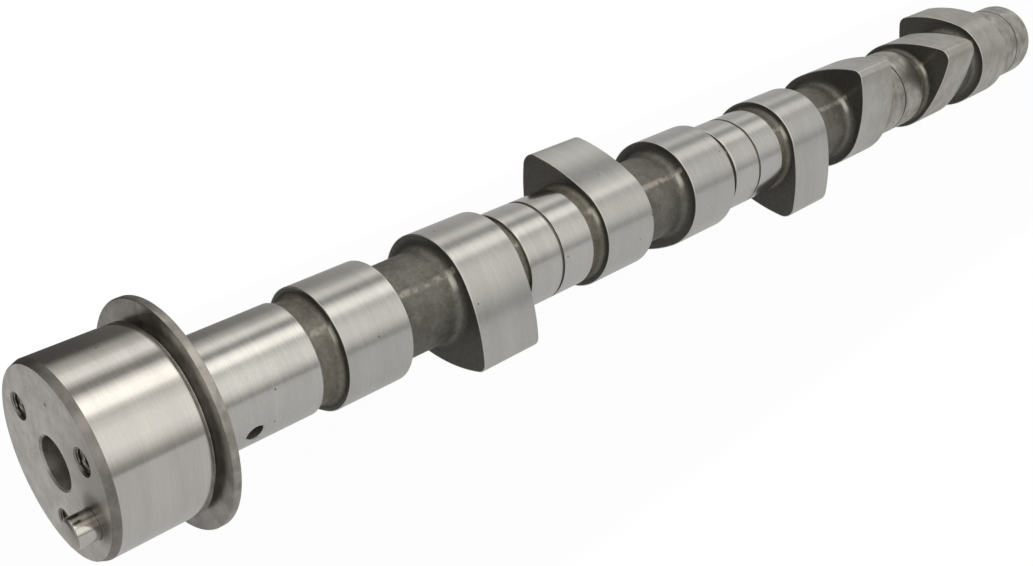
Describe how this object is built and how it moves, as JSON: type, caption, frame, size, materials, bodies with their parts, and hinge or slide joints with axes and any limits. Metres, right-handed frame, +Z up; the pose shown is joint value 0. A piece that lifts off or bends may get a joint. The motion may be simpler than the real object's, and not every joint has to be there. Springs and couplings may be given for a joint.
{
  "type": "camshaft",
  "caption": "Overhead camshaft with ground bearing journals, paired cam lobes, a thrust flange, and a pulley end with threaded holes and a dowel.",
  "frame": {"origin": "centre of the pulley face, on the shaft's axis", "axes": "+X along the shaft from the pulley face to the rear end, +Z up as the shaft lies on a bench, -X out of the pulley face"},
  "size_m": [0.487, 0.0624, 0.0624],
  "materials": {
    "shaft_iron": "ground bright on journals, lobes and land, dark as cast between them",
    "dowel_steel": "ground bright"
  },
  "bodies": {
    "root": {"camshaft": "shaft_iron", "dowel_pin": "dowel_steel"}
  },
  "joints": []
}
